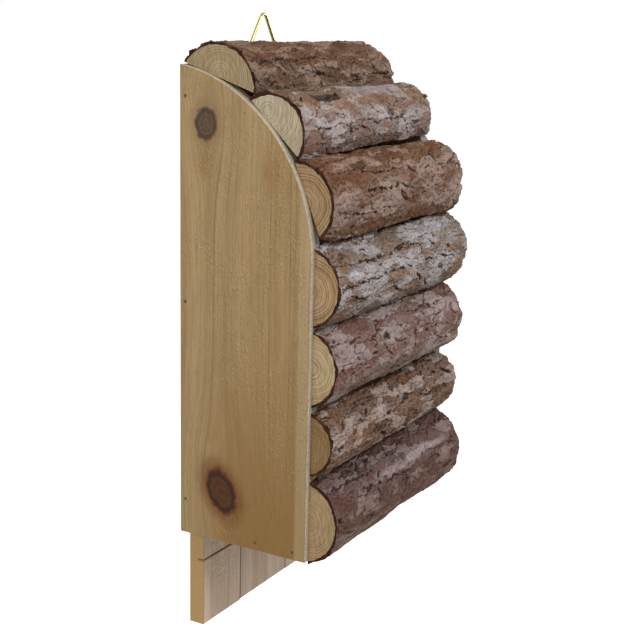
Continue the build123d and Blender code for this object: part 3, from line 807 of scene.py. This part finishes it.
def bark_relief(along, arc, look, nails):
    """Height of the bark in millimetres, and how pale, dark and glossy each point is."""
    seed, size = look.seed, look.scale
    drift_x = along + 6 * rough(along / 26, arc / 15, seed, 3)
    drift_x += 2.2 * rough(along / 6, arc / 5, seed + 5, 2)
    drift_y = arc + 2.6 * rough(along / 24, arc / 14, seed + 9, 3)
    drift_y += 1.4 * rough(along / 5, arc / 4.5, seed + 13, 2)
    gap, number = cells(drift_x / (30 * size), drift_y / (8.5 * size), seed + 17)
    open_here = step(rough(along / 30, arc / 9, seed + 21, 3), -0.16, 0.26)
    crack = (1 - step(gap, 0.005, 0.062)) * open_here
    layers = rough(drift_x / (28 * size), drift_y / (7.5 * size), seed + 25, 4) * 3.0 + number * 1.2
    level = np.floor(layers)
    lip = layers - level
    terrace = level + step(lip, 0.0, 0.12)
    # Dark lines at the risers where the plates step up: a shallow groove, with painted shadow under the
    # plate edges.
    torn = (1 - step(lip, 0.02, 0.11)) * step(rough(along / 26, arc / 9, seed + 29, 2), -0.15, 0.25)
    small = rough(drift_x / (9 * size), drift_y / (3.4 * size), seed + 31, 3) * 2.6
    small_level = np.floor(small)
    flake = small_level + step(small - small_level, 0.0, 0.22)
    gap_fine, _ = cells((drift_x + 0.7 * drift_y) / (5.5 * size), drift_y / (4.0 * size), seed + 37)
    split_here = step(rough(along / 12, arc / 6, seed + 41, 2), 0.18, 0.55)
    split = (1 - step(gap_fine, 0.02, 0.12)) * split_here
    mark_height, mark_tone, mark_dark, gloss = marked(along, arc, look)
    calm = 1 - 0.7 * gloss
    height = 0.42 * terrace + 0.20 * flake - 1.1 * crack - 0.45 * torn - 0.5 * split
    height = height * calm * look.relief + mark_height
    grain = 0.15 * rough(along / 2.6, arc / 1.9, seed + 45, 2)
    swell = 0.5 * rough(along / 60, arc / 30, seed + 49, 2)
    height += grain + swell
    layer_tone = scatter(level.astype(np.int64), (number * 50).astype(np.int64), seed + 71)
    flake_tone = scatter(small_level.astype(np.int64), level.astype(np.int64), seed + 73)
    broad = rough(drift_x / 38, drift_y / 13, seed + 53, 3)
    tone = 0.5 + 0.34 * (layer_tone - 0.5) + 0.16 * (flake_tone - 0.5) + 0.85 * broad
    tone = np.clip(tone + mark_tone, 0, 1)
    # A dark rim just outside the raised pale patches: a shallow groove and painted shadow of their edges.
    kept = step(rough(along / 7, arc / 4, seed + 77, 2), -0.3, 0.2)
    rim = step(tone, 0.58, 0.615) * (1 - step(tone, 0.635, 0.665)) * kept
    height += (0.34 * step(tone, 0.62, 0.66) - 0.22 * (1 - step(tone, 0.30, 0.36)) - 0.25 * rim) * calm
    height = np.minimum(height - np.percentile(height, 62), 1.3)
    # The dark attribute: real cracks, splits and marks, with painted shadow at the plate risers (torn) and
    # round the pale patches (rim).
    rim_shade_and_marks = (0.42 * rim + mark_dark) * (1 - 0.5 * gloss)
    dark = np.clip(0.9 * crack + 0.62 * torn + 0.6 * split + rim_shade_and_marks, 0, 1)
    for nail in nails:
        away = np.hypot(along - nail[0], arc - nail[1])
        pit = 1 - step(away, NAIL_PIT * 0.8, NAIL_PIT * 1.25)
        height = height * (1 - pit) - NAIL_PIT_DEPTH * pit
        dark = np.maximum(dark, 0.5 * pit)
    return height, tone, dark, gloss


def bark_sheet(columns, rows):
    """A flat grid for the bark, and at each end a second row of points that its cut rim runs in to."""
    bm = bmesh.new()
    bmesh.ops.create_grid(bm, x_segments=columns, y_segments=rows, size=0.5)
    edge_loops = []
    for side in (-0.5, 0.5):
        rim = [e for e in bm.edges if all(abs(v.co.x - side) < 1e-6 for v in e.verts)]
        made = bmesh.ops.extrude_edge_only(bm, edges=rim)["geom"]
        inner = [v for v in made if isinstance(v, bmesh.types.BMVert)]
        edge_loops.append(sorted(inner, key=lambda v: v.co.y))
    return bm, edge_loops


def close_sheet(bm, edge_loops):
    """Fills the sawn ends inside their rims, then the flat side. Returns the new faces."""
    caps = []
    for loop in edge_loops:
        chain = set(loop)
        edges = [e for v in loop for e in v.link_edges if e.other_vert(v) in chain]
        edges.append(bm.edges.new((loop[0], loop[-1])))
        caps += bmesh.ops.edgeloop_fill(bm, edges=list(set(edges)))["faces"]
    open_edges = [e for e in bm.edges if e.is_boundary]
    caps += bmesh.ops.holes_fill(bm, edges=open_edges, sides=0)["faces"]
    return caps


def half_log(number, look):
    """A half-log as one closed piece: rough bark, its dark cut rim and the sawn wood."""
    middle, half, rise, radius, x_low, x_high = log_section(number, look)
    outward, upward = log_axes(look)
    depth = radius - rise
    corner_angle = math.atan2(half, depth)
    columns = int((x_high - x_low) / BARK_PITCH)
    rows = int(2 * corner_angle * radius / BARK_PITCH)

    bm, edge_loops = bark_sheet(columns, rows)
    inner_set = {v for loop in edge_loops for v in loop}

    bm.verts.index_update()
    flat_grid = np.array([v.co[:2] for v in bm.verts]) + 0.5
    is_inner = np.array([v in inner_set for v in bm.verts])
    along = x_low + flat_grid[:, 0] * (x_high - x_low)
    angle = (flat_grid[:, 1] * 2 - 1) * corner_angle
    arc = angle * radius
    nail_x = [sum(c.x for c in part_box(f"log_nails_{side}")) / 2 / MM for side in ("left", "right")]
    height, weathered, dark, gloss = bark_relief(along, arc, look, [(x, 0.0) for x in nail_x])

    order = np.lexsort((flat_grid[:, 1].round(6), flat_grid[:, 0].round(6), is_inner))
    outer = order[: (columns + 1) * (rows + 1)]
    sheet = height[outer].reshape(columns + 1, rows + 1)
    # Hollow: how far each point lies below its neighbours, 0.5 on the level. The bark material paints shade
    # where it is high and a highlight where it is low.
    hollow = np.zeros(len(height))
    dents = 0.5 - 0.55 * (sheet - blurred(sheet, 4)) - 0.35 * (sheet - blurred(sheet, 1))
    hollow[outer] = np.clip(dents, 0, 1).ravel()
    thin = 1 - look.taper * flat_grid[:, 0]
    rest_up = (half * look.taper + look.slide) * flat_grid[:, 0]
    lump = 0.7 * rough(along / 70, arc / 45, look.seed + 61, 2)
    bark = radius + height + lump
    inward = step(along, x_low, x_low + 12)
    lower_flare = look.skirt[0] * (1 - step(flat_grid[:, 1], 0.0, 0.3))
    upper_flare = look.skirt[1] * step(flat_grid[:, 1], 0.7, 1.0)
    bark += inward * (lower_flare + upper_flare)
    bare = radius - BARK_THICKNESS + 0.55 * rough(along * 0 + look.seed, arc / 5, look.seed + 67, 2) + lump
    reach = np.where(is_inner, bare, bark)
    crumble = 0.8 * step(rough(arc / 4, along / 50, look.seed + 71, 3), 0.0, 0.7)
    at_left, at_right = flat_grid[:, 0] < 1e-6, flat_grid[:, 0] > 1 - 1e-6
    x = along + np.where(is_inner, 0, crumble) * (at_left * 1.0 - at_right * 1.0)
    up = reach * np.sin(angle) * thin + rest_up
    out = np.maximum((reach * np.cos(angle) - depth) * thin, 0.0)
    side_edge = (flat_grid[:, 1] < 1e-6) | (flat_grid[:, 1] > 1 - 1e-6)
    out = np.where(side_edge, 0.0, out)
    spots = np.array(middle) + MM * (out[:, None] * np.array(outward) + up[:, None] * np.array(upward))
    spots[:, 0] = x * MM
    for vert, spot in zip(bm.verts, spots):
        vert.co = spot

    caps = close_sheet(bm, edge_loops)
    for face in bm.faces:
        touching = sum(v in inner_set for v in face.verts)
        face.material_index = 1 if touching == 2 else 0
        face.smooth = touching == 0
    for face in caps:
        face.material_index = 2
        face.smooth = False
    bmesh.ops.triangulate(bm, faces=caps)
    bmesh.ops.recalc_face_normals(bm, faces=bm.faces)

    mesh = bpy.data.meshes.new(f"half_log_{number}_in_bark")
    bm.to_mesh(mesh)
    bm.free()
    for label, values in (("girth", girth_of(along, arc, flat_grid[:, 1], look)), ("weathered", weathered),
                          ("hollow", hollow), ("dark", dark), ("gloss", gloss)):
        layer = mesh.attributes.new(label, "FLOAT", "POINT")
        layer.data.foreach_set("value", values.astype(np.float32))
    piece = bpy.data.objects.new(f"half_log_{number}_in_bark", mesh)
    bpy.context.scene.collection.objects.link(piece)
    pith = middle + MM * (look.pith[0] * upward + look.pith[1] * outward)
    for material in (bark_material(number, look), INNER_BARK, log_wood_material(number, look, pith)):
        mesh.materials.append(material)
    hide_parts(f"half_log_{number}")
    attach(piece, "box")
    return piece


def girth_of(along, arc, fraction, look):
    """Place across the bark, from its lower edge at 0 to its upper at 1, with wandering borders."""
    return np.clip(fraction + 0.07 * rough(along / 38, arc / 22, look.seed + 81, 3), 0, 1)


INNER_BARK = bast_material()
for log_number, log_look in enumerate(LOG_LOOKS, start=1):
    half_log(log_number, log_look)


# ---------------------------------------------------------------- boards, nails and hanger

def side_span(name):
    low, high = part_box(name)
    return low.x, high.x


def above_feet(forward, height):
    """A spot on a side panel in row-frame Y and Z, from millimetres forward of the wall and up."""
    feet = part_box("side_panel_left")[0].z
    return -forward * MM, feet + height * MM


def panel_knots():
    """The two knots of the left panel: place, size, turn and colours from the halo inwards."""
    upper, lower = above_feet(22.5, 309.5), above_feet(37.0, 39.5)
    grey = ((0.235, 0.145, 0.065), (0.050, 0.028, 0.015), (0.098, 0.064, 0.036), (0.220, 0.105, 0.035),
            0.50)
    brown = ((0.160, 0.050, 0.007), (0.012, 0.003, 0.001), (0.088, 0.030, 0.007), (0.036, 0.009, 0.002),
             0.80)
    return [
        ((0.0, *upper), (1.0, 0.0095, 0.0120), 0.0, grey),
        ((0.0, *lower), (1.0, 0.0122, 0.0178), math.radians(26), brown),
    ]


PANEL_STAINS = [
    ((0.0, *above_feet(22.0, 284.0)), (1.0, 0.011, 0.020), (0.270, 0.150, 0.045), 0.75),
    ((0.0, *above_feet(78.0, 281.0)), (1.0, 0.016, 0.024), (0.290, 0.160, 0.060), 0.70),
]
PANEL_PALE, PANEL_DEEP, PANEL_LINE = (0.410, 0.288, 0.143), (0.350, 0.230, 0.098), (0.245, 0.135, 0.042)
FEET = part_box("side_panel_left")[0].z
give(["side_panel_left"], board_material(
    "panel_wood_left", PANEL_PALE, PANEL_DEEP, PANEL_LINE, panel_knots(),
    sawn=side_span("side_panel_left"), foot=FEET, stains=PANEL_STAINS
))
# The right panel's sawn edges are darkened (edge 0.45) as painted shade, for they lie in the gaps under the
# logs.
give(["side_panel_right"], board_material(
    "panel_wood_right", PANEL_PALE, PANEL_DEEP, PANEL_LINE, pith=(-0.03, 0.06),
    sawn=side_span("side_panel_right"), foot=FEET, edge=0.45
))
GOLDEN_EDGE, JOINT_SHADE = (0.460, 0.292, 0.122), (0.270, 0.185, 0.125)
STAVE_PALE, STAVE_DEEP, STAVE_LINE = (0.700, 0.540, 0.410), (0.640, 0.475, 0.345), (0.470, 0.310, 0.190)
EDGE_REACH = 0.0008


def stave_material(stave, pith, glow):
    """A stave's wood, a little lighter or darker by glow, golden at the back board's outer edges."""
    low, high = side_span(f"back_stave_{stave}")
    sides = [(low, EDGE_REACH, GOLDEN_EDGE if stave == "left" else JOINT_SHADE),
             (high, EDGE_REACH, GOLDEN_EDGE if stave == "right" else JOINT_SHADE)]
    pale, deep = (tuple(c * glow for c in tone) for tone in (STAVE_PALE, STAVE_DEEP))
    return board_material(f"stave_wood_{stave}", pale, deep, STAVE_LINE, pith=pith, sides=sides)


for stave, stave_pith, glow in (("left", (0.16, -0.05), 1.07), ("middle", (0.02, 0.06), 0.97),
                                ("right", (-0.11, -0.04), 0.94)):
    give([f"back_stave_{stave}"], stave_material(stave, stave_pith, glow))
give(["floor_board"], board_material("floor_wood", (0.470, 0.350, 0.220), (0.400, 0.290, 0.170),
                                     (0.280, 0.180, 0.090)))
give([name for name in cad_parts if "nails" in name], steel_material())
give(["hanger_strap", "hanger_screws", "hanger_loop"], brass_material())


# ---------------------------------------------------------------- camera, light and floor

def place_camera():
    azimuth, elevation, roll = (math.radians(a) for a in (AZIMUTH, ELEVATION, ROLL))
    back = Vector((math.sin(azimuth) * math.cos(elevation), -math.cos(azimuth) * math.cos(elevation),
                   math.sin(elevation)))
    level = Vector((0, 0, 1)).cross(back).normalized()
    upright = back.cross(level)
    right = level * math.cos(roll) + upright * math.sin(roll)
    up = back.cross(right)
    camera = bpy.data.objects.new("camera", bpy.data.cameras.new("camera"))
    camera.data.lens = LENS
    camera.data.clip_start = 0.01
    turn = Matrix((right, up, back)).transposed().to_4x4()
    camera.matrix_world = Matrix.Translation(LOOK_AT + back * DISTANCE) @ turn
    bpy.context.scene.collection.objects.link(camera)
    bpy.context.scene.camera = camera


def soft_light(name, azimuth, elevation, distance, size, power, colour=(1, 1, 1)):
    """A square soft light that faces the middle of the object."""
    low, high = cad_bounds
    middle = (Vector(low) + Vector(high)) / 2
    turn, rise = math.radians(azimuth), math.radians(elevation)
    way = Vector((math.sin(turn) * math.cos(rise), -math.cos(turn) * math.cos(rise), math.sin(rise)))
    lamp = bpy.data.lights.new(name, "AREA")
    lamp.size, lamp.energy, lamp.color = size, power, colour
    light = bpy.data.objects.new(name, lamp)
    facing = way.to_track_quat("Z", "Y").to_matrix().to_4x4()
    light.matrix_world = Matrix.Translation(middle + way * distance) @ facing
    bpy.context.scene.collection.objects.link(light)


def pale_floor():
    low = cad_bounds[0]
    bm = bmesh.new()
    bmesh.ops.create_grid(bm, x_segments=1, y_segments=1, size=40.0)
    bmesh.ops.translate(bm, verts=bm.verts, vec=(0, 0, low[2] - FLOOR_DROP))
    mesh = bpy.data.meshes.new("floor")
    bm.to_mesh(mesh)
    bm.free()
    floor = bpy.data.objects.new("floor", mesh)
    material, tree, shader = new_material("floor_paint")
    shader.inputs["Base Color"].default_value = (0.70, 0.70, 0.69, 1)
    shader.inputs["Roughness"].default_value = 0.9
    shader.inputs["Emission Color"].default_value = (1, 1, 1, 1)
    seen = put(tree, "LightPath").outputs["Is Camera Ray"]
    tree.links.new(times(tree, seen, 0.85), shader.inputs["Emission Strength"])
    mesh.materials.append(material)
    bpy.context.scene.collection.objects.link(floor)


def white_room():
    """White where the camera looks past the object, and a softer light on it."""
    world = bpy.data.worlds.new("room")
    world.use_nodes = True
    tree = world.node_tree
    white = tree.nodes["Background"]
    white.inputs["Color"].default_value = (1.0, 1.0, 1.0, 1)
    light = put(tree, "Background", {"Color": (1.0, 0.99, 0.97, 1), "Strength": 0.38})
    mixed = put(tree, "MixShader", {0: put(tree, "LightPath").outputs["Is Camera Ray"], 1: light.outputs[0],
                                    2: white.outputs[0]})
    tree.links.new(mixed.outputs[0], tree.nodes["World Output"].inputs["Surface"])
    bpy.context.scene.world = world


place_camera()
soft_light("key", -22, 42, 1.6, 0.55, 13)
soft_light("left", -100, 18, 1.8, 1.2, 12, (1.0, 0.98, 0.94))
soft_light("side", 60, 14, 1.5, 0.5, 7, (0.94, 0.95, 1.0))
pale_floor()
white_room()
bpy.context.scene.view_settings.view_transform = "Standard"
